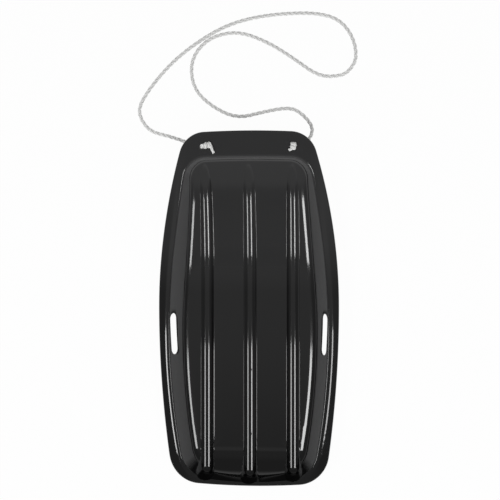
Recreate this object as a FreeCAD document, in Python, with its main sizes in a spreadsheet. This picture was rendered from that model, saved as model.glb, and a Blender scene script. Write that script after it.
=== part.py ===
# Moulded snow sled with a knotted tow rope.
# Millimetres. The front of the sled points along +Y and the runners stand on z = 0.
import FreeCAD, Part

import math
import os

from FreeCAD import Vector

document = FreeCAD.newDocument("snow_sled")
sheet = document.addObject("Spreadsheet::Sheet", "sizes")

# Each row of the sheet is an alias, its value and what it measures.
ROWS = [
    ("sled_length", 890, "over the lip, front to rear"),
    ("sled_width", 454, "over the lip at the widest place"),
    ("wall", 2.5, "moulded thickness everywhere"),
    ("widest_ahead", 5, "widest place of the lip, ahead of mid length"),
    ("side_front_radius", 1365, "lip outline, side ahead of the widest place"),
    ("side_rear_radius", 2775, "lip outline, side behind the widest place"),
    ("front_bow_radius", 2240, "lip outline across the front"),
    ("rear_bow_radius", 1800, "lip outline across the rear"),
    ("front_corner_radius", 68, "lip outline, front corners"),
    ("rear_corner_radius", 80, "lip outline, rear corners"),
    ("rim_height", 70, "top of the side rim at mid length"),
    ("rim_slope_deg", 1, "the rim climbs forward by this angle"),
    ("sheer_start", 150, "ahead of here the rim curves up to the deck"),
    ("sheer_radius", 1800, "curve of the rim towards the front"),
    ("lip_drop", 16, "the turned-down lip hangs this far below the rim"),
    ("tub_width", 400, "tub at rim height, at its widest"),
    ("tub_widest_behind", 61, "widest place of the tub, behind mid length"),
    ("tub_front", 370, "tub outline, front end at mid rim height"),
    ("tub_rear", 441, "tub outline, rear end at mid rim height"),
    ("tub_side_front_radius", 1680, "tub outline, side ahead of its widest place"),
    ("tub_side_rear_radius", 1850, "tub outline, side behind its widest place"),
    ("tub_front_bow_radius", 4000, "tub outline across the front"),
    ("tub_rear_bow_radius", 800, "tub outline across the rear"),
    ("tub_front_corner_radius", 50, "tub outline, front corners"),
    ("tub_rear_corner_radius", 84, "tub outline, rear corners"),
    ("wall_slope_deg", 62, "tub walls rise at this angle, so that sleds nest"),
    ("runner_depth", 7, "runners stand this far below the floor"),
    ("floor_bend", 25, "radius between floor and wall, inside"),
    ("rocker_start", 60, "ahead of here the floor rises"),
    ("rocker_radius", 900, "first gentle rise of the floor"),
    ("scoop_start", 300, "ahead of here the floor scoops up to the deck"),
    ("scoop_radius", 227, "curve of the front scoop"),
    ("scoop_end_deg", 36.4, "slope of the scoop where it meets the front wall"),
    ("rear_scoop_start", 355, "behind here the floor curves up to the rear wall"),
    ("rear_scoop_radius", 90, "curve of the rear scoop"),
    ("rear_scoop_end_deg", 54, "slope of the rear scoop where it meets the wall"),
    ("runner_pitch", 110, "from one runner to the next"),
    ("middle_channel_half", 22, "half width of the middle channel at floor level"),
    ("side_channel_half", 27, "half width of a side channel at floor level"),
    ("runner_sole", 5, "narrow flat sole that each runner stands on"),
    ("channel_share", 0.6, "this share of the half width is hollow, the rest rounds over"),
    ("channel_margin", 1.5, "the upright rear sides stand this far outside the hollow"),
    ("shoulder_end_deg", 8, "the rounded shoulder meets the floor at this slope"),
    ("shoulder_rise", 0.5, "cutting shape of the channel ends above the floor"),
    ("runner_front_radius", 860, "first rise of the runner, tighter than the floor's"),
    ("runner_tip_radius", 176, "curve of the runner's tip, where it runs out"),
    ("runner_tip_end_deg", 42, "slope at the end of the runner's tip"),
    ("runner_rear", 432, "inside rear end of the middle channel"),
    ("crease_radius", 10, "rounding where the tub wall turns into the rim"),
    ("rear_crease_radius", 4, "the same rounding along the narrow rear rim"),
    ("roll_radius", 16, "rounding where the rim turns down into the lip, beside the rider"),
    ("front_roll_radius", 6, "lip rounding along the front"),
    ("rear_roll_radius", 3.5, "lip rounding along the narrow rear rim"),
    ("rear_blend_start", 250, "behind here the rim's roundings get tighter"),
    ("slot_length", 105, "hand slot, end to end"),
    ("slot_width", 28, "hand slot, across, measured up the wall"),
    ("slot_centre", 190, "hand slot, from the middle of the sled"),
    ("slot_behind", 64, "hand slot, behind mid length"),
    ("slot_climb_deg", 2.5, "the front end of a hand slot lies higher up the wall"),
    ("rope_hole_radius", 6, "holes in the deck for the rope"),
    ("rope_hole_centre", 113, "rope hole, from the middle of the sled"),
    ("rope_hole_ahead", 406, "rope hole, ahead of mid length"),
    ("rope_diameter", 9.5, "twisted tow rope"),
    ("bend_share", 0.45, "share of the shorter run that each bend of the rope takes up"),
    ("seat_gap", 0.3, "knot above the deck"),
    ("knot_turn_radius", 3.6, "middle of the rope's turns in a knot"),
    ("knot_turn_step", 8, "from one turn to the next"),
    ("left_knot_reach", 10, "from the left rope hole to the first turn of its knot"),
    ("left_tail_length", 20, "rope end beyond the left knot's middle"),
    ("right_tail_length", 15, "rope end beyond the right knot's middle"),
    ("tail_aside", 4, "the left tail leans outwards by this much over its length"),
    ("tail_droop", 4, "the left tail sinks by this much over its length"),
    ("overrun", 30, "cutting shapes pass the moulding by this much"),
]

# Corners of the rope's path: out of the left hole, over the ground and back up the right hole.
ROPE = [
    (-113, 406, 94), (-113, 406, 60), (-122, 410, 24), (-150, 421, 5),
    (-205, 441, 5), (-257, 453, 5), (-284, 485, 5), (-290, 520, 5),
    (-251, 579, 5), (-196, 639, 5), (-132, 687, 5), (-66, 724, 5),
    (6, 745, 5), (87, 754, 5), (170, 754, 5), (228, 737, 5),
    (263, 692, 5), (273, 638, 5), (256, 608, 5), (234, 592, 5),
    (176, 591, 5), (111, 639, 5), (44, 682, 5), (-29, 710, 5),
    (-96, 699, 5), (-139, 663, 5), (-155, 618, 5), (-144, 561, 5),
    (-100, 518, 5), (-34, 486, 5), (40, 504, 5), (104, 514, 5),
    (137, 494, 5), (163, 460, 5), (150, 426, 7), (124, 410, 28),
    (113, 406, 62), (113, 406, 94),
]

for row, (alias, value, note) in enumerate(ROWS, start=1):
    sheet.set(f"A{row}", note)
    sheet.set(f"B{row}", str(value))
    sheet.setAlias(f"B{row}", alias)
for row, place in enumerate(ROPE, start=1):
    for column, axis, value in zip("DEF", "xyz", place):
        sheet.set(f"{column}{row}", str(value))
        sheet.setAlias(f"{column}{row}", f"rope_{axis}_{row}")
document.recompute()

wall_slope = math.radians(sheet.wall_slope_deg)
upright = math.cos(math.radians(89))
deck_share = math.cos(math.radians(30))
floor_level = sheet.wall + sheet.runner_depth
half_length = sheet.sled_length / 2
half_width = sheet.sled_width / 2
wide = half_width + 2 * sheet.overrun
high = 2 * sheet.rim_height


def add(name, shape):
    feature = document.addObject("Part::Feature", name)
    feature.Shape = shape
    return feature


# Boat outline: four long arcs tangent to four corner arcs. The inset moves it inwards, level by level.
def corner_centre(side_centre, side_radius, end_centre, end_radius, forward):
    across = Vector(end_centre).sub(side_centre)
    apart = across.Length
    along = (side_radius ** 2 - end_radius ** 2 + apart ** 2) / (2 * apart)
    aside = math.sqrt(side_radius ** 2 - along ** 2)
    across.normalize()
    foot = side_centre + across * along
    turned = Vector(-across.y, across.x, 0) * aside
    return max(foot + turned, foot - turned, key=lambda place: place.y * forward)


def boat_outline(level, inset, width, front, rear, widest, side_radii, end_radii, corner_radii):
    right = []
    for forward, end, side_radius, end_radius, corner in zip(
            (1, -1), (front, rear), side_radii, end_radii, corner_radii):
        side_centre = Vector(width / 2 - side_radius, widest, 0)
        end_centre = Vector(0, forward * (end - end_radius), 0)
        centre = corner_centre(side_centre, side_radius - corner, end_centre, end_radius - corner, forward)
        to_side = (centre - side_centre).normalize()
        to_end = (centre - end_centre).normalize()
        to_middle = (to_side + to_end).normalize()
        start = side_centre + to_side * (side_radius - inset)
        finish = end_centre + to_end * (end_radius - inset)
        bend = centre + to_middle * (corner - inset)
        widest_point = Vector(width / 2 - inset, widest, 0)
        halfway = (to_side + Vector(1, 0, 0)).normalize()
        side_middle = side_centre + halfway * (side_radius - inset)
        right.append((widest_point, side_middle, start, bend, finish, Vector(0, forward * (end - inset), 0)))

    front_half, rear_half = right

    def mirrored(point):
        return Vector(-point.x, point.y, point.z)

    widest_right, front_side, front_start, front_bend, front_finish, front_point = front_half
    rear_side, rear_start, rear_bend, rear_finish, rear_point = rear_half[1:]
    arcs = [
        (widest_right, front_side, front_start),
        (front_start, front_bend, front_finish),
        (front_finish, front_point, mirrored(front_finish)),
        (mirrored(front_finish), mirrored(front_bend), mirrored(front_start)),
        (mirrored(front_start), mirrored(front_side), mirrored(widest_right)),
        (mirrored(widest_right), mirrored(rear_side), mirrored(rear_start)),
        (mirrored(rear_start), mirrored(rear_bend), mirrored(rear_finish)),
        (mirrored(rear_finish), rear_point, rear_finish),
        (rear_finish, rear_bend, rear_start),
        (rear_start, rear_side, widest_right),
    ]
    lift = Vector(0, 0, level)
    return Part.Wire([Part.Arc(a + lift, b + lift, c + lift).toShape() for a, b, c in arcs])


def lip_outline(level, inset):
    return boat_outline(
        level, inset, sheet.sled_width, half_length, half_length, sheet.widest_ahead,
        (sheet.side_front_radius, sheet.side_rear_radius),
        (sheet.front_bow_radius, sheet.rear_bow_radius),
        (sheet.front_corner_radius, sheet.rear_corner_radius))


# The tub outline holds at mid rim height; the walls lean, so other levels are wider or narrower.
def tub_outline(level, outward):
    inset = (sheet.rim_height - level) / math.tan(wall_slope) - outward / math.sin(wall_slope)
    return boat_outline(
        level, inset, sheet.tub_width, sheet.tub_front, sheet.tub_rear, -sheet.tub_widest_behind,
        (sheet.tub_side_front_radius, sheet.tub_side_rear_radius),
        (sheet.tub_front_bow_radius, sheet.tub_rear_bow_radius),
        (sheet.tub_front_corner_radius, sheet.tub_rear_corner_radius))


# Side view curves, drawn in the YZ plane and stretched across the sled.
def side_point(y, z):
    return Vector(-wide, y, z)


def side_arc(centre_y, centre_z, radius, from_deg, to_deg):
    places = []
    for angle in (from_deg, (from_deg + to_deg) / 2, to_deg):
        slope = math.radians(angle)
        places.append(side_point(centre_y + radius * math.sin(slope), centre_z - radius * math.cos(slope)))
    return Part.Arc(*places).toShape(), places[0], places[-1]


def across(edges):
    face = Part.Face(Part.Wire(edges))
    return face.extrude(Vector(2 * wide, 0, 0))


def below_rim(drop):
    slope = sheet.rim_slope_deg
    knee_y = sheet.sheer_start
    knee_z = sheet.rim_height + knee_y * math.tan(math.radians(slope)) - drop
    centre_y = knee_y - sheet.sheer_radius * math.sin(math.radians(slope))
    centre_z = knee_z + sheet.sheer_radius * math.cos(math.radians(slope))
    front = half_length + 2 * sheet.overrun
    end_slope = math.degrees(math.asin((front - centre_y) / sheet.sheer_radius))
    curve, knee, tip = side_arc(centre_y, centre_z, sheet.sheer_radius, slope, end_slope)
    rear = -half_length - 2 * sheet.overrun
    heel = side_point(rear, knee_z - (knee_y - rear) * math.tan(math.radians(slope)))
    lines = [curve]
    corners = [tip, side_point(front, -2 * sheet.overrun), side_point(rear, -2 * sheet.overrun), heel, knee]
    for start, end in zip(corners, corners[1:]):
        lines.append(Part.LineSegment(start, end).toShape())
    return across(lines)


def above_floor(drop):
    level = floor_level - drop
    gentle_end = math.degrees(math.asin((sheet.scoop_start - sheet.rocker_start) / sheet.rocker_radius))
    rocker, flat_front, rocker_end = side_arc(
        sheet.rocker_start, floor_level + sheet.rocker_radius, sheet.rocker_radius + drop, 0, gentle_end)
    lean = math.radians(gentle_end)
    shift = sheet.rocker_radius - sheet.scoop_radius
    scoop, scoop_foot, scoop_top = side_arc(
        sheet.rocker_start + shift * math.sin(lean),
        floor_level + sheet.rocker_radius - shift * math.cos(lean),
        sheet.scoop_radius + drop, gentle_end, sheet.scoop_end_deg)
    heel, heel_top, flat_rear = side_arc(
        -sheet.rear_scoop_start, floor_level + sheet.rear_scoop_radius,
        sheet.rear_scoop_radius + drop, -sheet.rear_scoop_end_deg, 0)
    front_climb = (high - scoop_top.z) / math.tan(math.radians(sheet.scoop_end_deg))
    rear_climb = (high - heel_top.z) / math.tan(math.radians(sheet.rear_scoop_end_deg))
    front_top = side_point(scoop_top.y + front_climb, high)
    rear_top = side_point(heel_top.y - rear_climb, high)
    lines = [
        heel,
        Part.LineSegment(flat_rear, side_point(sheet.rocker_start, level)).toShape(),
        rocker,
        scoop,
        Part.LineSegment(scoop_top, front_top).toShape(),
        Part.LineSegment(front_top, rear_top).toShape(),
        Part.LineSegment(rear_top, heel_top).toShape(),
    ]
    return across(lines)


# Runner channel: round bottomed, turning softly into the floor. It runs straight to a round rear
# end, where the floor rises beside it, and fades out in front where the floor rises faster.
def channel_curve(half, outward):
    sole = sheet.runner_sole / 2
    spread = half - sole
    slope = 2 * math.atan(sheet.runner_depth / spread)
    hollow_radius = sheet.channel_share * spread / math.sin(slope)
    shoulder_radius = spread / math.sin(slope) - hollow_radius
    shoulder_end = math.radians(sheet.shoulder_end_deg)

    def on_hollow(angle):
        radius = hollow_radius + outward
        return sole + radius * math.sin(angle), sheet.wall + hollow_radius - radius * math.cos(angle)

    def on_shoulder(angle):
        radius = shoulder_radius - outward
        return half - radius * math.sin(angle), floor_level - shoulder_radius + radius * math.cos(angle)

    hollow = [on_hollow(0), on_hollow(slope / 2), on_hollow(slope)]
    shoulder = [on_shoulder(slope), on_shoulder((slope + shoulder_end) / 2), on_shoulder(shoulder_end)]
    top = floor_level + sheet.shoulder_rise - outward
    reach = (shoulder[-1][0] + (top - shoulder[-1][1]) / math.tan(shoulder_end), top)
    flat = [(0, hollow[0][1]), hollow[0]]
    return flat, hollow, shoulder, reach, slope


def runner(place, half, outward):
    flat, hollow, shoulder, reach, slope = channel_curve(half, outward)
    sag = sheet.tub_rear_bow_radius - math.sqrt(sheet.tub_rear_bow_radius ** 2 - place ** 2)
    inner_half = channel_curve(half, 0)[1][-1][0] + sheet.channel_margin
    steep_half = inner_half + outward
    foot = hollow[-1]
    knee = (steep_half, foot[1] + (steep_half - foot[0]) * math.tan(slope))
    rear_end = -sheet.runner_rear + sag + inner_half
    soft_end = -sheet.rear_scoop_start + half

    def drawn(y, right_side, whole):
        def at(point, side):
            return Vector(place + side * point[0], y, point[1])

        def bend(points, side):
            return Part.Arc(*[at(point, side) for point in points]).toShape()

        def line(start, start_side, end, end_side):
            return Part.LineSegment(at(start, start_side), at(end, end_side)).toShape()

        edges = []
        for side in (1, -1) if whole else (1,):
            for piece in right_side:
                if len(piece) == 3:
                    edges.append(bend(piece, side))
                else:
                    edges.append(line(piece[0], side, piece[1], side))
        last = right_side[-1][-1]
        if whole:
            edges.append(line(last, 1, last, -1))
        else:
            axis_top = (0, last[1])
            edges.append(line(last, 1, axis_top, 1))
            edges.append(line(axis_top, 1, right_side[0][0], 1))
        return Part.Face(Part.Wire(Part.__sortEdges__(edges)))

    soft = [flat, hollow, shoulder, (shoulder[-1], reach)]
    steep = [flat, hollow, (foot, knee), (knee, (steep_half, sheet.rim_height))]
    pieces = [
        drawn(rear_end, steep, True).extrude(Vector(0, soft_end - rear_end, 0)),
        drawn(rear_end, steep, False).revolve(Vector(place, rear_end, 0), Vector(0, 0, 1), -180),
        drawn(soft_end, soft, True).extrude(Vector(0, sheet.rocker_start - soft_end, 0)),
        drawn(soft_end, soft, False).revolve(Vector(place, soft_end, 0), Vector(0, 0, 1), -180),
    ]
    face = drawn(sheet.rocker_start, soft, True)
    centre = Vector(place, sheet.rocker_start, sheet.wall + sheet.runner_front_radius)
    lean = math.asin((sheet.scoop_start - sheet.rocker_start) / sheet.runner_front_radius)
    pieces.append(face.revolve(centre, Vector(1, 0, 0), math.degrees(lean)))
    turned = face.copy()
    turned.rotate(centre, Vector(1, 0, 0), math.degrees(lean))
    shift = sheet.runner_front_radius - sheet.runner_tip_radius
    tip_centre = centre + Vector(0, math.sin(lean), -math.cos(lean)) * shift
    pieces.append(turned.revolve(tip_centre, Vector(1, 0, 0), sheet.runner_tip_end_deg - math.degrees(lean)))
    return pieces[0].fuse(pieces[1:]).removeSplitter()


def middle_normal(face):
    u_low, u_high, v_low, v_high = face.ParameterRange
    return face.normalAt((u_low + u_high) / 2, (v_low + v_high) / 2)


# The walls lean out of the tub, the floor doesn't: its faces have no slope across the sled.
def tub(outward):
    leaning = Part.makeLoft([tub_outline(0, outward), tub_outline(high, outward)], True, True)
    bowl = leaning.common(above_floor(outward))
    seam = []
    for edge in bowl.Edges:
        kinds = [abs(middle_normal(face).x) < upright for face in bowl.ancestorsOfType(edge, Part.Face)]
        if kinds.count(True) == 1 and edge.BoundBox.ZMin < high:
            seam.append(edge)
    rounded = bowl.makeFillet(sheet.floor_bend + outward, seam)
    channels = [runner(0, sheet.middle_channel_half, outward)]
    for side in (-1, 1):
        channels.append(runner(side * sheet.runner_pitch, sheet.side_channel_half, outward))
    return rounded.fuse(channels)


def prism(inset):
    return Part.Face(lip_outline(-sheet.overrun, inset)).extrude(Vector(0, 0, sheet.overrun + high))


# Rounding radii along the rim, wide beside the rider and tighter towards both ends.
def share_between(value, start, end):
    return min(max((value - start) / (end - start), 0), 1)


def rim_radius(y, side, front, rear):
    ahead = share_between(y, sheet.sheer_start, sheet.tub_front)
    behind = share_between(-y, sheet.rear_blend_start, half_length)
    return side + (front - side) * ahead + (rear - side) * behind


def round_rim(name, shape, less):
    feature = add(name + "_sharp", shape)
    shape = feature.Shape
    deck = []
    for face in shape.Faces:
        if middle_normal(face).z > deck_share and face.BoundBox.ZMin > sheet.rim_height / 2:
            deck.append(face)
    chosen = []
    for number, edge in enumerate(shape.Edges, start=1):
        owners = shape.ancestorsOfType(edge, Part.Face)
        off_deck = [owner for owner in owners if not any(owner.isSame(face) for face in deck)]
        if len(off_deck) != 1:
            continue
        if abs(middle_normal(off_deck[0]).z) < upright:
            sizes = (sheet.roll_radius, sheet.front_roll_radius, sheet.rear_roll_radius)
        else:
            sizes = (sheet.crease_radius, sheet.crease_radius, sheet.rear_crease_radius)
        start = rim_radius(edge.firstVertex(True).Y, *sizes) - less
        end = rim_radius(edge.lastVertex(True).Y, *sizes) - less
        chosen.append((number, start, end))
    rounded = document.addObject("Part::Fillet", name)
    rounded.Base = feature
    rounded.Edges = chosen
    document.recompute()
    return rounded.Shape


top_block = round_rim("top_block", prism(0).common(below_rim(0)).cut(tub(0)), 0)
outer_tub = tub(sheet.wall)
under_deck = prism(sheet.wall).common(below_rim(sheet.wall)).cut(outer_tub)
under_block = round_rim("under_block", under_deck, sheet.wall)
below_lip = prism(-sheet.overrun).common(below_rim(sheet.lip_drop)).cut(outer_tub)
moulding = add("moulding", top_block.cut(under_block.fuse(below_lip)))


# Rope holes are drilled straight down. A hand slot is punched square to its leaning wall.
def rope_hole(side, word):
    tool = document.addObject("Part::Cylinder", f"{word}_rope_hole")
    tool.setExpression("Radius", "sizes.rope_hole_radius")
    tool.setExpression("Height", "sizes.rim_height * 2")
    tool.setExpression("Placement.Base.x", f"{side} * sizes.rope_hole_centre")
    tool.setExpression("Placement.Base.y", "sizes.rope_hole_ahead")
    return tool


def hand_slot(side, word):
    end_radius = sheet.slot_width / 2
    run = sheet.slot_length - sheet.slot_width
    deep = sheet.overrun
    shape = Part.makeBox(sheet.slot_width, run, deep, Vector(-end_radius, -run / 2, -deep / 2))
    for end in (-1, 1):
        shape = shape.fuse(Part.makeCylinder(end_radius, deep, Vector(0, end * run / 2, -deep / 2)))
    below = (sheet.tub_width / 2 - sheet.slot_centre) * math.tan(wall_slope)
    place = Vector(side * sheet.slot_centre, -sheet.slot_behind, sheet.rim_height - below)
    lean = FreeCAD.Rotation(Vector(0, 1, 0), -side * sheet.wall_slope_deg)
    climb = FreeCAD.Rotation(Vector(0, 0, 1), -side * sheet.slot_climb_deg)
    shape.Placement = FreeCAD.Placement(place, lean * climb)
    return add(f"{word}_hand_slot", shape)


tools = []
for side, word in ((-1, "left"), (1, "right")):
    tools.append(hand_slot(side, word))
    tools.append(rope_hole(side, word))

openings = document.addObject("Part::MultiFuse", "openings")
openings.Shapes = tools
sled_body = document.addObject("Part::Cut", "sled_body")
sled_body.Base = moulding
sled_body.Tool = openings


# A tube along straight runs joined by tangent arcs.
def tube_path(points):
    edges = []
    last = points[0]
    for before, corner, after in zip(points, points[1:], points[2:]):
        inward = before - corner
        outward = after - corner
        set_back = sheet.bend_share * min(inward.Length, outward.Length)
        half_turn = (math.pi - inward.getAngle(outward)) / 2
        start = corner + inward.normalize() * set_back
        end = corner + outward.normalize() * set_back
        radius = set_back / math.tan(half_turn)
        centre_way = (inward + outward).normalize()
        middle = corner + centre_way * (radius / math.cos(half_turn) - radius)
        edges.append(Part.LineSegment(last, start).toShape())
        edges.append(Part.Arc(start, middle, end).toShape())
        radii.append(radius)
        last = end
    edges.append(Part.LineSegment(last, points[-1]).toShape())
    return Part.Wire(edges)


def tube(points, radius):
    path = tube_path(points)
    way = points[1] - points[0]
    section = Part.Wire(Part.Circle(points[0], way, radius).toShape())
    return path.makePipeShell([section], True, True), path.Length


radii = []
rope_points = []
for number in range(1, len(ROPE) + 1):
    rope_points.append(Vector(*[sheet.get(f"rope_{axis}_{number}") for axis in "xyz"]))
rope_radius = sheet.rope_diameter / 2
rope_shape, rope_length = tube(rope_points, rope_radius)
tow_rope = add("tow_rope", rope_shape)
volume_share = rope_shape.Volume / (math.pi * rope_radius ** 2 * rope_length)
pieces = tube_path(rope_points).Edges
apart = [a.distToShape(b)[0] for number, a in enumerate(pieces) for b in pieces[number + 4:]]
print("rope length", round(rope_length, 1), "tightest bend", round(min(radii), 1))
print("gap from the rope to itself", round(min(apart) - sheet.rope_diameter, 2))
print("tube volume over section times length", round(volume_share, 4))


# Knots: a bulging body of turns lying side by side, a stem down to the rope and a short tail.
def turns(count, start, direction):
    radius = rope_radius
    step = sheet.knot_turn_step
    middle = sheet.knot_turn_radius
    cross = math.sqrt(radius ** 2 - (step / 2) ** 2) + middle
    foot = math.sqrt(radius ** 2 - middle ** 2)
    edges = []
    last = Vector(-foot, 0, 0)
    for number in range(count):
        centre = number * step
        end = Vector(centre + step / 2, 0, cross)
        if number == count - 1:
            end = Vector(centre + foot, 0, 0)
        edges.append(Part.Arc(last, Vector(centre, 0, middle + radius), end).toShape())
        last = end
    edges.append(Part.LineSegment(last, Vector(-foot, 0, 0)).toShape())
    body = Part.Face(Part.Wire(edges)).revolve(Vector(), Vector(1, 0, 0), 360)
    body.Placement = FreeCAD.Placement(start, FreeCAD.Rotation(Vector(1, 0, 0), direction))
    return body


deck_slope = math.radians(sheet.rim_slope_deg) + (sheet.rope_hole_ahead - sheet.sheer_start) / sheet.sheer_radius
deck_up = Vector(0, -math.sin(deck_slope), math.cos(deck_slope))
deck_level = (
    sheet.rim_height + math.tan(math.radians(sheet.rim_slope_deg)) * sheet.rope_hole_ahead
    + (sheet.rope_hole_ahead - sheet.sheer_start) ** 2 / (2 * sheet.sheer_radius))
lift = sheet.seat_gap + sheet.knot_turn_radius + rope_radius

left_end = rope_points[0]
left_high = Vector(left_end.x, left_end.y, deck_level + lift / math.cos(deck_slope))
left_start = left_high + Vector(sheet.left_knot_reach, 0, 0)
left_last = left_start + Vector(2 * sheet.knot_turn_step, 0, 0)
left_stem, _ = tube([left_end, left_high, left_start], rope_radius)
left_tail = Part.makeCylinder(
    rope_radius, sheet.left_tail_length, left_last, Vector(sheet.tail_aside, -sheet.left_tail_length, -sheet.tail_droop))
left_body = turns(3, left_start, Vector(1, 0, 0))
left_knot = add("left_knot", left_body.fuse([left_stem, left_tail]).removeSplitter())

right_end = rope_points[-1]
right_low = Vector(right_end.x, right_end.y, deck_level) + deck_up * (sheet.seat_gap + rope_radius)
right_stem = Part.makeCylinder(rope_radius, right_low.z - right_end.z, right_end)
right_body = turns(2, right_low, deck_up)
right_tail = Part.makeCylinder(
    rope_radius, sheet.right_tail_length, right_low, Vector(-sheet.right_tail_length, -sheet.right_tail_length, 0))
right_knot = add("right_knot", right_body.fuse([right_stem, right_tail]).removeSplitter())

document.recompute()
os.makedirs("parts", exist_ok=True)
for obj in document.Objects:
    if "Invalid" in obj.State or "Error" in obj.State:
        raise RuntimeError(f"{obj.Name} did not rebuild: {obj.State}")
for node in (sled_body, tow_rope, left_knot, right_knot):
    shape = node.Shape
    if shape.isNull() or not shape.isValid() or len(shape.Solids) != 1:
        raise RuntimeError(f"{node.Label} is not one valid solid")
    box = shape.optimalBoundingBox()
    print(node.Label, "solid", round(shape.Volume), "mm3", [round(v, 2) for v in (
        box.XMin, box.XMax, box.YMin, box.YMax, box.ZMin, box.ZMax)])
    shape.exportStep(f"parts/{node.Label}.step")
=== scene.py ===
import math

import bmesh
import bpy
from mathutils import Matrix, Vector


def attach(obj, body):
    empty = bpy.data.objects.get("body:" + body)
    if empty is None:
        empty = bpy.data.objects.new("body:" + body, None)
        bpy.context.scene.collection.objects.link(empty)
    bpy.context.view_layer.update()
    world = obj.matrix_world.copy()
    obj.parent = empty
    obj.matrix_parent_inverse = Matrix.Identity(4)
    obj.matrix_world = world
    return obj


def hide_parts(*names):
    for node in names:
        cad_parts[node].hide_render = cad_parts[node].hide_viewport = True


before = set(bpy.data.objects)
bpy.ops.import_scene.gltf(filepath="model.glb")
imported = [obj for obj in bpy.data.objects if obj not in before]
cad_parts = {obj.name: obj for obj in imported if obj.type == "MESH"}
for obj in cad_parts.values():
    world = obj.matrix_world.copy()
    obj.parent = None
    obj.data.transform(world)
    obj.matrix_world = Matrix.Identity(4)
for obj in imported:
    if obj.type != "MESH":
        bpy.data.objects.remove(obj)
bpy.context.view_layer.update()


# The camera looks down on the sled from 2.7 m, a little from its right.
camera_place = Vector((0.208, 0.1483, 2.7))
camera_target = Vector((0.0046, 0.1488, 0.072))
camera_data = bpy.data.cameras.new("camera")
camera_data.lens = 75.8
camera_data.sensor_width = 36
camera_data.clip_end = 20
camera = bpy.data.objects.new("camera", camera_data)
camera.location = camera_place
view_line = camera_place - camera_target
camera.rotation_euler = (0, math.atan2(view_line.x, view_line.z), 0)
bpy.context.scene.collection.objects.link(camera)
bpy.context.scene.camera = camera


# Tow rope: 9.5 mm white synthetic rope, three strands laid to the right. It comes up through
# two holes in the front deck, with a knot over each, and its slack lies on the ground in a loop.
strand_radius = 0.00232
strand_out = 0.00243
rope_lay = 0.045
rope_corners = [
    (-0.113, 0.406, 0.094), (-0.113, 0.406, 0.060), (-0.122, 0.410, 0.024), (-0.150, 0.421, 0.005),
    (-0.205, 0.441, 0.005), (-0.257, 0.453, 0.005), (-0.284, 0.485, 0.005), (-0.290, 0.520, 0.005),
    (-0.251, 0.579, 0.005), (-0.196, 0.639, 0.005), (-0.132, 0.687, 0.005), (-0.066, 0.724, 0.005),
    (0.006, 0.745, 0.005), (0.087, 0.754, 0.005), (0.170, 0.754, 0.005), (0.228, 0.737, 0.005),
    (0.263, 0.692, 0.005), (0.273, 0.638, 0.005), (0.256, 0.608, 0.005), (0.234, 0.592, 0.005),
    (0.176, 0.591, 0.005), (0.111, 0.639, 0.005), (0.044, 0.682, 0.005), (-0.029, 0.710, 0.005),
    (-0.096, 0.699, 0.005), (-0.139, 0.663, 0.005), (-0.155, 0.618, 0.005), (-0.144, 0.561, 0.005),
    (-0.100, 0.518, 0.005), (-0.034, 0.486, 0.005), (0.040, 0.504, 0.005), (0.104, 0.514, 0.005),
    (0.137, 0.494, 0.005), (0.163, 0.460, 0.005), (0.150, 0.426, 0.007), (0.124, 0.410, 0.028),
    (0.113, 0.406, 0.062), (0.113, 0.406, 0.094),
]


class Value:
    """A socket that can be used in sums."""

    def __init__(self, socket):
        self.socket = socket

    def maths(self, operation, *others):
        return node("ShaderNodeMath", {"operation": operation}, self, *others)

    def __add__(self, other):
        return self.maths("ADD", other)

    def __sub__(self, other):
        return self.maths("SUBTRACT", other)

    def __mul__(self, other):
        return self.maths("MULTIPLY", other)

    def __rsub__(self, other):
        return node("ShaderNodeMath", {"operation": "SUBTRACT"}, other, self)

    __radd__ = __add__
    __rmul__ = __mul__


def put(socket, value):
    if isinstance(value, Value):
        tree.links.new(value.socket, socket)
    else:
        socket.default_value = value


# Adds a shader node: its settings, then its sockets in order or by name.
def node(kind, settings=None, *values, output=0, **named):
    made = tree.nodes.new(kind)
    for name, setting in (settings or {}).items():
        setattr(made, name, setting)
    for socket, value in zip(made.inputs, values):
        if value is not None:
            put(socket, value)
    for name, value in named.items():
        put(made.inputs[name.replace("_", " ")], value)
    return Value(made.outputs[output])


# Splits a vector into its three parts.
def parts(vector):
    split = tree.nodes.new("ShaderNodeSeparateXYZ")
    tree.links.new(vector.socket, split.inputs[0])
    return [Value(output) for output in split.outputs]


# Goes from one value to another while a shader value goes from start to end.
def fade(value, start, end, first, last, kind="SMOOTHSTEP"):
    return node("ShaderNodeMapRange", {"interpolation_type": kind}, value, start, end, first, last)


def mix_colours(factor, first, second):
    mixed = node("ShaderNodeMix", {"data_type": "RGBA"}, output=2)
    sockets = mixed.socket.node.inputs
    put(sockets["Factor"], factor)
    put(sockets["A"], first)
    put(sockets["B"], second)
    return mixed


def start_material(name):
    global tree
    material = bpy.data.materials.new(name)
    material.use_nodes = True
    tree = material.node_tree
    tree.nodes.clear()
    return material


def finish_material(shader):
    out = tree.nodes.new("ShaderNodeOutputMaterial")
    tree.links.new(shader.socket, out.inputs["Surface"])


def add_piece(name, mesh, material):
    piece = bpy.data.objects.new(name, mesh)
    bpy.context.scene.collection.objects.link(piece)
    piece.data.materials.append(material)
    return piece


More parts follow.
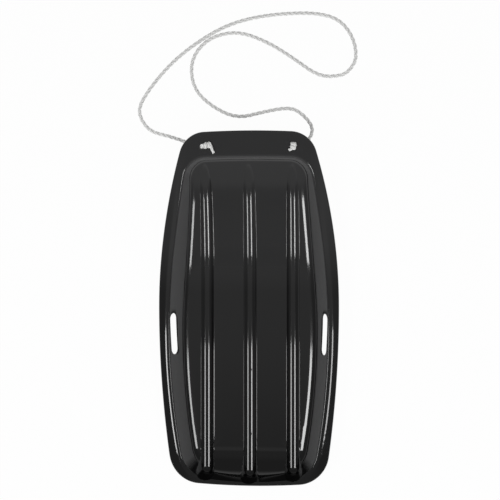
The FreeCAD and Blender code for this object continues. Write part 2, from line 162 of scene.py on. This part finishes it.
# Reads the smooth line of a rope route from its spline.
def route_line(name, corners, resolution):
    curve = bpy.data.curves.new(name, "CURVE")
    curve.dimensions = "3D"
    curve.resolution_u = resolution
    spline = curve.splines.new("NURBS")
    spline.points.add(len(corners) - 1)
    for point, corner in zip(spline.points, corners):
        point.co = (*corner, 1)
    spline.order_u = 3
    spline.use_endpoint_u = True
    carrier = bpy.data.objects.new(name, curve)
    bpy.context.scene.collection.objects.link(carrier)
    bpy.context.view_layer.update()
    depsgraph = bpy.context.evaluated_depsgraph_get()
    line = bpy.data.meshes.new_from_object(carrier.evaluated_get(depsgraph))
    places = [vertex.co.copy() for vertex in line.vertices]
    bpy.data.objects.remove(carrier)
    bpy.data.meshes.remove(line)
    return places


# Lays three strands along a line. The UV map runs once round each strand and along it in centimetres. Each
# vertex also keeps how far it faces out, the mask for the painted shade in the grooves between strands.
def lay_strands(name, line, around=10, squeeze=1.0):
    bm = bmesh.new()
    uv_layer = bm.loops.layers.uv.new("UVMap")
    painted_shade_layer = bm.verts.layers.float.new("painted_groove_shade_mask")
    steps = [(after - before).normalized() for before, after in zip(line, line[1:])]
    tangents = [steps[0]] + [(a + b).normalized() for a, b in zip(steps, steps[1:])] + [steps[-1]]
    lengths = [0.0]
    for before, after in zip(line, line[1:]):
        lengths.append(lengths[-1] + (after - before).length)
    side = tangents[0].orthogonal().normalized()
    sides = []
    for tangent in tangents:
        side = (side - tangent * side.dot(tangent)).normalized()
        sides.append(side)
    for strand in range(3):
        centres = []
        outs = []
        for place, tangent, side, length in zip(line, tangents, sides, lengths):
            turn = 2 * math.pi * (strand / 3 + length / rope_lay)
            out = side * math.cos(turn) + tangent.cross(side) * math.sin(turn)
            outs.append(out)
            centres.append(place + out * strand_out * squeeze)
        rings = []
        for number, (centre, out) in enumerate(zip(centres, outs)):
            way = (centres[min(number + 1, len(centres) - 1)] - centres[max(number - 1, 0)]).normalized()
            out = (out - way * out.dot(way)).normalized()
            beside = way.cross(out)
            ring = []
            for step in range(around):
                angle = 2 * math.pi * step / around
                reach = out * math.cos(angle) + beside * math.sin(angle)
                vertex = bm.verts.new(centre + reach * strand_radius * squeeze)
                # Painted shade mask: 1 where the strand faces out, 0 where it turns into the groove
                # between strands.
                vertex[painted_shade_layer] = (1 + math.cos(angle)) / 2
                ring.append(vertex)
            rings.append(ring)
        for number, (ring, after) in enumerate(zip(rings, rings[1:])):
            for step in range(around):
                beyond = (step + 1) % around
                face = bm.faces.new((ring[step], ring[beyond], after[beyond], after[step]))
                face.smooth = True
                spots = ((step, number), (step + 1, number), (step + 1, number + 1), (step, number + 1))
                for loop, (turn, row) in zip(face.loops, spots):
                    loop[uv_layer].uv = (turn / around, lengths[row] * 100)
        bm.faces.new(reversed(rings[0]))
        bm.faces.new(rings[-1])
    mesh = bpy.data.meshes.new(name)
    bm.to_mesh(mesh)
    bm.free()
    return mesh


# White rope fibre. The yarns of each strand run nearly along the rope, so their lines slant on the strand.
# The strands are painted darker where they turn in towards each other: painted shade in the grooves.
rope_white = start_material("rope_white")
yarns = 11
yarn_slant = 0.8
lay_in_cm = 4.5
yarn_relief = 0.35
fibres_round = 60
fibres_slant = 11
fibres_along = 2.0
groove_painted_shade = (0.66, 0.66, 0.65, 1)
crown_shade = (1.0, 1.0, 0.99, 1)
round_strand, along_strand, _ = parts(node("ShaderNodeUVMap", {"uv_map": "UVMap"}))
painted_groove_shade_mask = node("ShaderNodeAttribute", {"attribute_name": "painted_groove_shade_mask"}, output=2)
yarn_turn = round_strand * yarns + along_strand * (yarns / lay_in_cm * yarn_slant)
yarn_wave = (yarn_turn * (2 * math.pi)).maths("SINE")
fibre_place = node("ShaderNodeCombineXYZ", None, round_strand * fibres_round + along_strand * fibres_slant,
                   along_strand * fibres_along, 0.0)
fibre = node("ShaderNodeTexNoise", {"noise_dimensions": "3D"}, Vector=fibre_place, Scale=1.0, Detail=2.0)
rope_relief = yarn_wave * yarn_relief + fibre
rope_bump = node("ShaderNodeBump", None, Strength=0.55, Distance=0.00035, Height=rope_relief)
# Painted shade: the rope's white is darkened in the grooves between the strands.
rope_with_painted_shade = mix_colours(painted_groove_shade_mask.maths("POWER", 0.6), groove_painted_shade, crown_shade)
finish_material(node("ShaderNodeBsdfPrincipled", None, Base_Color=rope_with_painted_shade, Roughness=0.62,
                     Normal=rope_bump))

rope_line = route_line("tow_rope_route", rope_corners, resolution=30)
rope_mesh = lay_strands("tow_rope_strands", rope_line)
rope = add_piece("tow_rope_strands", rope_mesh, rope_white)
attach(rope, "root")
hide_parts("tow_rope")


# The two knots are overhand knots tied in the rope's own ends above the deck, so that it can't
# pull through. They are drawn up tight, so each is made as two close turns with a short tail.
knot_squeeze = 0.80
knot_turns = 2
knot_radius = 0.0050
knot_level = 0.1037
corners_per_turn = 10
coil_start = 0.15
neck_levels = (0.080, 0.096)
tail_share = 0.4
tail_levels = (0.1030, 0.0985)
for word, hole, start, finish, tail in (
        ("left", (-0.113, 0.406), (-0.108, 0.4065), (-0.0925, 0.4095), (-0.084, 0.3890)),
        ("right", (0.113, 0.406), (0.1150, 0.4125), (0.1130, 0.3995), (0.1035, 0.3960))):
    along = Vector((*finish, 0)) - Vector((*start, 0))
    across = along.cross((0, 0, 1)).normalized() * knot_radius
    corners = [(*hole, level) for level in neck_levels]
    for number in range(knot_turns * corners_per_turn + 1):
        turn = 2 * math.pi * (number / corners_per_turn - coil_start)
        centre = Vector((*start, knot_level)) + along * number / (knot_turns * corners_per_turn)
        corners.append(centre + across * math.sin(turn) - Vector((0, 0, knot_radius * math.cos(turn))))
    bend = Vector(finish) * (1 - tail_share) + Vector(tail) * tail_share
    corners += [(*bend, tail_levels[0]), (*tail, tail_levels[1])]
    knot_line = route_line(f"{word}_knot_route", corners, resolution=8)
    knot_mesh = lay_strands(f"{word}_knot_strands", knot_line, squeeze=knot_squeeze)
    knot = add_piece(f"{word}_knot_strands", knot_mesh, rope_white)
    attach(knot, "root")
    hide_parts(f"{word}_knot")


# Ground: a plain white sheet. It is white to the camera and keeps the sled's soft shadow.
floor_white = start_material("floor_white")
floor_colour = (0.9, 0.9, 0.9, 1)
floor_reach = 6
glow_share = 0.97
rays = node("ShaderNodeLightPath").socket.node.outputs
seen = Value(rays["Is Camera Ray"]) + Value(rays["Is Glossy Ray"]) + Value(rays["Is Transmission Ray"])
diffuse = node("ShaderNodeBsdfDiffuse", None, Color=floor_colour)
glow = node("ShaderNodeEmission", None, Color=(1, 1, 1, 1), Strength=1.0)
finish_material(node("ShaderNodeMixShader", None, seen * glow_share, diffuse, glow))
bm = bmesh.new()
bmesh.ops.create_grid(bm, x_segments=1, y_segments=1, size=floor_reach)
floor_mesh = bpy.data.meshes.new("floor")
bm.to_mesh(floor_mesh)
bm.free()
floor = add_piece("floor", floor_mesh, floor_white)

# Studio light: a bright patch overhead with a dimmer gap behind it, a glow behind the sled and a
# bright horizon, over an even light from all round.
world = bpy.data.worlds.new("studio")
world.use_nodes = True
tree = world.node_tree
tree.nodes.clear()
_, look_ahead, look_up = parts(node("ShaderNodeTexCoord"))
look_back = look_ahead * -1.0
overhead = fade(look_up, start=0.80, end=0.96, first=0.0, last=0.24)
gap = fade(look_back, start=0.07, end=0.20, first=1.0, last=0.42)
before = fade(look_back, start=-0.10, end=-0.02, first=0.3, last=1.0)
behind = fade(look_back, start=0.40, end=0.62, first=0.0, last=0.27)
horizon = fade(look_up, start=0.08, end=0.40, first=0.9, last=0.0)
all_round = 0.25
brightness = overhead * gap * before + behind + horizon + all_round
sky = node("ShaderNodeBackground", None, Color=(1, 1, 1, 1), Strength=brightness)
world_out = tree.nodes.new("ShaderNodeOutputWorld")
tree.links.new(sky.socket, world_out.inputs["Surface"])
bpy.context.scene.world = world

# Two soft boxes above the rear corners, whose mirror images are the lines in the channels.
lamp_y = -0.72
lamp_height = 2.6
for word, lamp_x, power in (("right", 1.22, 15), ("left", -1.15, 20)):
    lamp_data = bpy.data.lights.new(f"lamp_{word}", "AREA")
    lamp_data.shape = "RECTANGLE"
    lamp_data.size = 0.75
    lamp_data.size_y = 0.56
    lamp_data.energy = power
    lamp = bpy.data.objects.new(f"lamp_{word}", lamp_data)
    lamp.location = (lamp_x, lamp_y, lamp_height)
    shine = Vector((lamp_x, lamp_y, lamp_height)) - Vector((0, lamp_y, 0))
    lamp.rotation_euler = shine.to_track_quat("Z", "Y").to_euler()
    bpy.context.scene.collection.objects.link(lamp)


# Sled body: one moulding of glossy black plastic, 2.5 mm thick all over. A flat floor with three
# pressed-down runner channels scoops up to the decks in front and behind, the walls lean out to
# a rim, and the rim rolls over into a turned-down lip. Each wall has a hand slot cut through it.
sled_wall = 0.0025
floor_level = 0.0095
rocker_start = 0.060
rocker_run = 0.240
tip_start = 0.300
floor_rocker = 0.900
sole_rocker = 0.860
rim_level = 0.070
rim_slope = math.radians(1)
rim_bend = 0.150
rim_bow = 1.8
wall_lean = math.radians(62)
easy_bend = 0.056
easy_end = math.radians(20)
tight_bend = 0.019
end_bend_size = 0.16
crease_radii = (0.005, 0.009, 0.004)
roll_radii = (0.004, 0.004, 0.003)
flange_fall = math.radians(16)
lip_drop = 0.016


# A tangent arc and the straight line after it: the height gained over a run.
def climb(run, radius, lean, limit):
    arc_run = min(run, radius * (math.sin(limit) - math.sin(lean)))
    height = radius * math.cos(lean) - math.sqrt(radius ** 2 - (arc_run + radius * math.sin(lean)) ** 2)
    return height + (run - arc_run) * math.tan(limit)


# The floor turns up into the wall in an easy bend and then a tighter one.
foot_run = easy_bend * math.sin(easy_end) + tight_bend * (math.sin(wall_lean) - math.sin(easy_end))
foot_rise = easy_bend * (1 - math.cos(easy_end)) + tight_bend * (math.cos(easy_end) - math.cos(wall_lean))
bend_start = foot_run - foot_rise / math.tan(wall_lean)


# The floor and the soles bend up in front in a long arc and then a tighter one.
def two_arcs(y, radius, tip_radius, tip_limit):
    run = min(max(y - rocker_start, 0), rocker_run)
    lean = math.asin(rocker_run / radius)
    tip = climb(max(y - tip_start, 0), tip_radius, lean, math.radians(tip_limit))
    return climb(run, radius, 0, lean) + tip


def floor_top(y):
    scoop_start = -0.355
    rear = climb(max(scoop_start - y, 0), radius=0.090, lean=0, limit=math.radians(54))
    return floor_level + two_arcs(y, floor_rocker, tip_radius=0.227, tip_limit=36.4) + rear


def sole_top(y):
    return sled_wall + two_arcs(y, sole_rocker, tip_radius=0.176, tip_limit=46)


def rim_top(y):
    straight = min(y, rim_bend) * math.tan(rim_slope)
    return rim_level + straight + climb(max(y - rim_bend, 0), rim_bow, rim_slope, math.radians(60))


def smooth_min(first, second, blend):
    near = max(blend - abs(first - second), 0)
    return min(first, second) - near ** 2 / (4 * blend)


def share_between(value, start, end):
    return min(max((value - start) / (end - start), 0), 1)


# Roundings are wide beside the rider and tighter along the front and rear edges.
def rim_radius(y, side, front, rear):
    ahead = share_between(y, start=0.150, end=0.370)
    behind = share_between(-y, start=0.250, end=0.445)
    return side + (front - side) * ahead + (rear - side) * behind


# Boat outline of long arcs tangent to corner arcs. Each end is told by its circles.
def outline_end(forward, end, half_width, widest, side_radius, end_radius, corner):
    side_centre = Vector((half_width - side_radius, widest))
    end_centre = Vector((0, forward * (end - end_radius)))
    apart = end_centre - side_centre
    first, second = side_radius - corner, end_radius - corner
    along = (first ** 2 - second ** 2 + apart.length_squared) / (2 * apart.length)
    aside = math.sqrt(first ** 2 - along ** 2)
    way = apart.normalized()
    foot = side_centre + way * along
    turned = Vector((-way.y, way.x)) * aside
    centre = max(foot + turned, foot - turned, key=lambda place: place.y * forward)
    return {"forward": forward, "widest": widest, "corner": corner, "centre": centre,
            "side_centre": side_centre, "side_radius": side_radius,
            "end_centre": end_centre, "end_radius": end_radius,
            "to_side": (centre - side_centre).normalized(), "to_end": (centre - end_centre).normalized()}


def outline(half_width, widest, front, rear, side_radii, end_radii, corners):
    return (outline_end(1, front, half_width, widest, side_radii[0], end_radii[0], corners[0]),
            outline_end(-1, rear, half_width, widest, side_radii[1], end_radii[1], corners[1]))


def outline_at(shape, y):
    return shape[0] if y > shape[0]["widest"] else shape[1]


# Distance inside an outline, and how far its edge there faces sideways.
def inside(shape, x, y):
    end = outline_at(shape, y)
    place = Vector((abs(x), y))
    from_corner = place - end["centre"]
    turn = end["forward"]
    if end["to_side"].cross(from_corner) * turn > 0 and from_corner.cross(end["to_end"]) * turn > 0:
        return end["corner"] - from_corner.length, from_corner.x / from_corner.length
    from_side = place - end["side_centre"]
    from_end = place - end["end_centre"]
    beside = end["side_radius"] - from_side.length
    behind = end["end_radius"] - from_end.length
    if beside < behind:
        return beside, from_side.x / from_side.length
    return behind, from_end.x / from_end.length


rear_bow = 0.800
tub_outline = outline(half_width=0.200, widest=-0.061, front=0.370, rear=0.441, side_radii=(1.680, 1.850),
                      end_radii=(4.000, rear_bow), corners=(0.050, 0.084))
lip_outline = outline(half_width=0.227, widest=0.005, front=0.445, rear=0.445, side_radii=(1.365, 2.775),
                      end_radii=(2.240, 1.800), corners=(0.068, 0.080))


# Floor and walls without the channels. The bend between them is wider at the sides than at the ends.
def tub_top(x, y):
    depth, sideways = inside(tub_outline, x, y)
    floor = floor_top(y)
    size = end_bend_size + (1 - end_bend_size) * sideways ** 2
    from_foot = depth - (rim_level - floor) / math.tan(wall_lean)
    run = bend_start * size - from_foot
    easy = climb(max(run, 0), easy_bend * size, 0, easy_end)
    past = run - easy_bend * size * math.sin(easy_end)
    if past <= 0:
        return floor + easy
    foot = easy_bend * size * (1 - math.cos(easy_end))
    return floor + foot + climb(past, tight_bend * size, easy_end, wall_lean)


channel_hollow = 0.023
channel_edge = 0.003
channel_half = 0.024
hollow_half_width = 0.0155
hollow_narrows = 0.07
channel_steepest = math.radians(80)
channel_rear = -0.328
channel_blend = 0.0006
channel_reach = 0.045
steep_start = -0.308
steep_rear = -0.432
steep_half = 0.0175
steep_blend = 0.22
rise_past_floor = 40
channels = ((-0.110, 0.029, channel_half), (0, 0.0215, 0.0215), (0.110, 0.029, channel_half))


# Runner channel: a round hollow, a tight edge on each side, and an easy run-out to the floor.
def channel_side(out, half, steep):
    hollow_half = hollow_half_width - (half - channel_half) * hollow_narrows
    lean = math.asin(hollow_half / channel_hollow)
    if out < hollow_half:
        return climb(out, channel_hollow, 0, lean)
    foot = channel_hollow * (1 - math.cos(lean))
    past = out - hollow_half
    if steep:
        return foot + climb(past, channel_edge, lean, channel_steepest)
    depth = floor_level - sled_wall
    # The tight edge ends at the slope where the run-out meets the floor, found by trial.
    last = 0.25
    for _ in range(6):
        edge_run = channel_edge * (math.sin(lean) - math.sin(last))
        edge_rise = channel_edge * (math.cos(last) - math.cos(lean))
        last = 2 * math.atan((depth - foot - edge_rise) / (half - hollow_half - edge_run))
    if past < edge_run:
        turned = math.asin(math.sin(lean) - past / channel_edge)
        return foot + channel_edge * (math.cos(turned) - math.cos(lean))
    run_out = (half - hollow_half - edge_run) / math.sin(last)
    to_floor = max(half - out, 0)
    beyond = rise_past_floor * max(out - half, 0) ** 2
    return depth - run_out + math.sqrt(run_out ** 2 - to_floor ** 2) + beyond


# Depth of a channel's easy part below the floor.
def channel_recess(place, inner, outer, x, y):
    lean = math.asin(min(max(y - rocker_start, 0), rocker_run) / sole_rocker)
    out = math.hypot(x - place, min(y - channel_rear, 0))
    turn = math.copysign(x - place, (x - place) * place) / max(out, 0.0001)
    side = channel_side(out, inner + (outer - inner) * (1 + turn) / 2, False) / math.cos(lean)
    return smooth_min(sole_top(y) + side - floor_top(y), 0, channel_blend)


# Top of a channel's steep rear end, which cuts into the rear wall.
def channel_end(place, x, y):
    sag = rear_bow - math.sqrt(rear_bow ** 2 - place ** 2)
    steep_end = steep_rear + sag + steep_half
    return sole_top(y) + channel_side(math.hypot(x - place, min(y - steep_end, 0)), channel_half, True)


def sled_top(x, y):
    top = tub_top(x, y)
    for place, inner, outer in channels:
        if abs(x - place) < channel_reach:
            top += channel_recess(place, inner, outer, x, y)
        if abs(x - place) < channel_reach and y < steep_start:
            blend = channel_blend + steep_blend * (floor_top(y) - floor_level)
            top = smooth_min(top, channel_end(place, x, y), blend)
    deck = rim_top(y)
    radius = rim_radius(y, *crease_radii)
    from_crease = (deck - top) / math.tan(wall_lean)
    reach = radius * math.tan(wall_lean / 2)
    if from_crease <= -reach:
        return deck
    if from_crease < reach * math.cos(wall_lean):
        return deck - radius + math.sqrt(radius ** 2 - (from_crease + reach) ** 2)
    return top


# Spreads grid lines between stops. Each stop gives its place and the step that follows it.
def spread(*stops):
    places = [stops[0][0]]
    for (start, step), (end, _) in zip(stops, stops[1:]):
        count = max(round((end - start) / step), 1)
        places += [start + (end - start) * number / count for number in range(1, count + 1)]
    return places


half_columns = spread((0, 0.0018), (0.0145, 0.0008), (0.0185, 0.002), (0.0265, 0.013), (0.078, 0.002),
                      (0.092, 0.0008), (0.097, 0.0018), (0.124, 0.0008), (0.128, 0.002), (0.142, 0))
columns = [-place for place in reversed(half_columns[1:])] + half_columns
rows = spread((-0.404, 0.0018), (-0.350, 0.003), (-0.300, 0.015), (0.060, 0.008), (0.300, 0.004),
              (0.332, 0.0018), (0.350, 0))
corner_start = 0.124
corner_size = 0.018
corner_rows = (-0.386, 0.332)


# The floor grid's corners are eased into round ones.
def eased(x, y):
    near_row = corner_rows[y > 0]
    aside = (abs(x) - corner_start) / corner_size
    along = (abs(y) - abs(near_row)) / corner_size
    if aside <= 0 or along <= 0:
        return x, y
    round_x = corner_start + corner_size * aside * math.sqrt(1 - along ** 2 / 2)
    round_y = abs(near_row) + corner_size * along * math.sqrt(1 - aside ** 2 / 2)
    return math.copysign(round_x, x), math.copysign(round_y, y)


# The lip point that lies outward from a point on the floor grid's edge.
def lip_point(x, y):
    end = outline_at(lip_outline, y)
    near_row = corner_rows[y > 0]
    ahead = end["forward"]
    centre, corner = end["centre"], end["corner"]
    first = math.atan2(end["to_side"].y * ahead, end["to_side"].x)
    last = math.acos((corner_start - centre.x) / corner)
    if abs(x) > corner_start and abs(y) > abs(near_row):
        turn = math.atan2(abs(y) - abs(near_row), abs(x) - corner_start) / (math.pi / 2)
        angle = first + (last - first) * turn
        place = centre + Vector((math.cos(angle), math.sin(angle) * ahead)) * corner
    elif abs(x) > corner_start:
        tangent = centre + end["to_side"] * corner
        height = y * abs(tangent.y) / abs(near_row)
        run = height - end["side_centre"].y
        place = Vector((end["side_centre"].x + math.sqrt(end["side_radius"] ** 2 - run ** 2), height))
    elif abs(x) < (centre + end["to_end"] * corner).x:
        place = Vector((abs(x), end["end_centre"].y + ahead * math.sqrt(end["end_radius"] ** 2 - x ** 2)))
    else:
        place = Vector((abs(x), centre.y + ahead * math.sqrt(corner ** 2 - (abs(x) - centre.x) ** 2)))
    return Vector((math.copysign(place.x, x), place.y))


# Rings run from the floor grid's edge out over the crease and the deck and down the lip.
wall_rings = 22
crease_rings = 7
flange_rings = 9
roll_rings = 8
lip_rings = 3
crease_before = 0.6
flange_flat = 0.004
flange_bend = 0.023


def ring_places(start):
    finish = lip_point(start.x, start.y)
    way = (finish - start).normalized()
    width = (finish - start).length
    near, far = 0.0, width
    for _ in range(40):
        middle = (near + far) / 2
        spot = start + way * middle
        if tub_top(*spot) < rim_top(spot.y):
            near = middle
        else:
            far = middle
    crease = rim_radius(start.y, *crease_radii) * math.tan(wall_lean / 2)
    roll = rim_radius(finish.y, *roll_radii)
    nudge = 0.00001
    d_here = inside(lip_outline, *(finish - way * nudge))[0] / nudge
    lean = flange_fall * way.x ** 2
    roll_start = width - roll * (1 - math.sin(lean)) / d_here
    first = near - crease * crease_before
    last = near + crease
    stops = []
    for begin, end, count in ((0.0, first, wall_rings), (first, last, crease_rings),
                              (last, roll_start, flange_rings)):
        stops += [begin + (end - begin) * number / count for number in range(1, count + 1)]
    places = []
    for stop in stops:
        spot = start + way * stop
        bent = climb(max((stop - last) * d_here - flange_flat, 0), flange_bend, 0, flange_fall)
        fall = way.x ** 2 * bent
        places.append(Vector((spot.x, spot.y, sled_top(spot.x, spot.y) - fall)))
    for number in range(1, roll_rings + 1):
        turn = lean + (math.pi / 2 - lean) * number / roll_rings
        inset = roll * (1 - math.sin(turn))
        drop = fall + roll * (math.cos(lean) - math.cos(turn))
        spot = finish - way * inset / d_here
        places.append(Vector((spot.x, spot.y, rim_top(spot.y) - drop)))
    for number in range(1, lip_rings + 1):
        level = rim_top(finish.y) - drop - (lip_drop - drop) * number / lip_rings
        places.append(Vector((finish.x, finish.y, level)))
    return places


# The floor grid is laid first, and its edge is then drawn outward ring by ring to the lip.
grid_half = 0.5
bm = bmesh.new()
bmesh.ops.create_grid(bm, x_segments=len(columns) - 1, y_segments=len(rows) - 1, size=grid_half)
grid = {}
for vertex in bm.verts:
    column = round((vertex.co.x + grid_half) * (len(columns) - 1))
    row = round((vertex.co.y + grid_half) * (len(rows) - 1))
    grid[column, row] = vertex
    x, y = eased(columns[column], rows[row])
    vertex.co = (x, y, sled_top(x, y))
right, top = len(columns) - 1, len(rows) - 1
loop = [(number, 0) for number in range(right)] + [(right, number) for number in range(top)]
loop += [(number, top) for number in range(right, 0, -1)] + [(0, number) for number in range(top, 0, -1)]
edge_verts = [grid[spot] for spot in loop]
ring_table = [ring_places(vertex.co.xy) for vertex in edge_verts]
edges = [edge for edge in bm.edges if edge.is_boundary]
for number in range(len(ring_table[0])):
    made = bmesh.ops.extrude_edge_only(bm, edges=edges)["geom"]
    fresh = {item for item in made if isinstance(item, bmesh.types.BMVert)}
    edges = [item for item in made if isinstance(item, bmesh.types.BMEdge) and set(item.verts) <= fresh]
    outer_verts = []
    for vertex in edge_verts:
        neighbours = [edge.other_vert(vertex) for edge in vertex.link_edges]
        outer_verts.append(next(other for other in neighbours if other in fresh))
    edge_verts = outer_verts
    for vertex, places in zip(edge_verts, ring_table):
        vertex.co = places[number]
bmesh.ops.recalc_face_normals(bm, faces=bm.faces)
if grid[right // 2, top // 2].normal.z < 0:
    bmesh.ops.reverse_faces(bm, faces=bm.faces)
bm.normal_update()

# The steep walls are marked for a duller grain and for painted sheen: their grey colour is painted light,
# standing in for the brightness they catch from the side. The front wall stays glossy.
grain_and_painted_sheen = bm.verts.layers.float.new("grain_and_painted_sheen")
floor_verts = set(grid.values())
lip_band = 0.012
for vertex in bm.verts:
    if vertex not in floor_verts and inside(lip_outline, vertex.co.x, vertex.co.y)[0] > lip_band:
        lean = math.degrees(vertex.normal.angle((0, 0, 1)))
        steep = share_between(lean, start=52, end=59)
        vertex[grain_and_painted_sheen] = steep * share_between(vertex.normal.y, start=0.65, end=0.40)
for face in bm.faces:
    face.smooth = True
shell_mesh = bpy.data.meshes.new("sled_shell")
bm.to_mesh(shell_mesh)
bm.free()

# Hand slots are punched square to the leaning walls, rope holes straight down.
punch_depth = 0.030
slot_length = 0.105
slot_across = 0.028
slot_climb = math.radians(4.5)
slot_inset = 0.010
slot_level = rim_level - slot_inset * math.tan(wall_lean)
slot_place = (0.190, -0.064)
slot_corners = 48
hole_place = (0.113, 0.406)
hole_radius = 0.006
hole_corners = 32
punch_length = 0.2
bm = bmesh.new()
for side in (-1, 1):
    slot = bmesh.ops.create_circle(bm, cap_ends=True, radius=slot_across / 2,
                                   segments=slot_corners)["verts"]
    half_step = Matrix.Rotation(math.pi / slot_corners, 3, "Z")
    bmesh.ops.rotate(bm, verts=slot, cent=(0, 0, 0), matrix=half_step)
    for vertex in slot:
        vertex.co.y += math.copysign((slot_length - slot_across) / 2, vertex.co.y)
    made = bmesh.ops.extrude_face_region(bm, geom=list(slot[0].link_faces))["geom"]
    far_end = [item for item in made if isinstance(item, bmesh.types.BMVert)]
    bmesh.ops.translate(bm, verts=far_end, vec=(0, 0, punch_depth))
    bmesh.ops.translate(bm, verts=slot + far_end, vec=(0, 0, -punch_depth / 2))
    lean = Matrix.Rotation(-side * wall_lean, 4, "Y") @ Matrix.Rotation(-side * slot_climb, 4, "Z")
    move = Matrix.Translation((side * slot_place[0], slot_place[1], slot_level))
    bmesh.ops.transform(bm, verts=slot + far_end, matrix=move @ lean)
    hole = bmesh.ops.create_cone(bm, cap_ends=True, radius1=hole_radius, radius2=hole_radius,
                                 depth=punch_length, segments=hole_corners)["verts"]
    bmesh.ops.translate(bm, verts=hole, vec=(side * hole_place[0], hole_place[1], punch_length / 2))
bmesh.ops.recalc_face_normals(bm, faces=bm.faces)
punch_mesh = bpy.data.meshes.new("punch")
bm.to_mesh(punch_mesh)
bm.free()
punch = bpy.data.objects.new("punch", punch_mesh)
bpy.context.scene.collection.objects.link(punch)

# The sheet is given its wall on the underside, and the slots and holes are cut through it.
shell = bpy.data.objects.new("sled_shell", shell_mesh)
bpy.context.scene.collection.objects.link(shell)
thickness = shell.modifiers.new("wall", "SOLIDIFY")
thickness.thickness = sled_wall
thickness.offset = -1
thickness.use_even_offset = True
cut = shell.modifiers.new("punched", "BOOLEAN")
cut.operation = "DIFFERENCE"
cut.solver = "EXACT"
cut.object = punch
bpy.context.view_layer.update()
depsgraph = bpy.context.evaluated_depsgraph_get()
sled_mesh = bpy.data.meshes.new_from_object(shell.evaluated_get(depsgraph))
bpy.data.objects.remove(shell)
bpy.data.objects.remove(punch)
sled_mesh.name = "sled_moulding"
sled_mesh.materials.clear()
sled_mesh.set_sharp_from_angle(angle=math.radians(35))

# Gloss black plastic with painted light: its colour is painted lighter towards the front, where more light
# falls, and the steep walls get a duller grain and a painted grey sheen. Four gates left low round marks
# on the floor's centre line.
sled_black = start_material("sled_black")
rear_black = (0.0015, 0.0015, 0.0016, 1)
front_painted_light_black = (0.021, 0.021, 0.0215, 1)
painted_sheen_grey = (0.094, 0.094, 0.095, 1)
gloss_roughness = 0.07
grain_roughness = 0.55
ripple_height = 0.2
where = node("ShaderNodeTexCoord", None, output=3)
aside, along, _ = parts(where)
# Painted light: the black is painted lighter towards the front, as the light falls off towards the rear.
forward = fade(along, start=-0.42, end=0.04, first=0.0, last=0.2, kind="LINEAR")
forward += fade(along, start=0.04, end=0.16, first=0.0, last=0.8, kind="LINEAR")
black_with_painted_front_light = mix_colours(forward, rear_black, front_painted_light_black)
wall_grain_and_sheen_mask = node("ShaderNodeAttribute", {"attribute_name": "grain_and_painted_sheen"}, output=2)
# Painted sheen: the steep walls are painted grey for the light they catch; only their roughness is the
# duller grain.
black_with_painted_light = mix_colours(wall_grain_and_sheen_mask, black_with_painted_front_light, painted_sheen_grey)
ripple = node("ShaderNodeTexNoise", {"noise_dimensions": "3D"}, Vector=where, Scale=9.0, Detail=1.0)
sled_relief = ripple * ripple_height
for gate_y in (0.299, 0.129, -0.159, -0.324):
    ahead = along - gate_y
    from_gate = (aside * aside + ahead * ahead).maths("SQRT")
    sled_relief += fade(from_gate, start=0.0025, end=0.0045, first=0.25, last=0.0)
sled_bump = node("ShaderNodeBump", None, Strength=1.0, Distance=0.001, Height=sled_relief)
sled_roughness = wall_grain_and_sheen_mask * grain_roughness + gloss_roughness
finish_material(node("ShaderNodeBsdfPrincipled", None, Base_Color=black_with_painted_light, Roughness=sled_roughness,
                     Normal=sled_bump))
sled = add_piece("sled_moulding", sled_mesh, sled_black)
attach(sled, "root")
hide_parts("sled_body")

bpy.context.scene.view_settings.view_transform = "Standard"
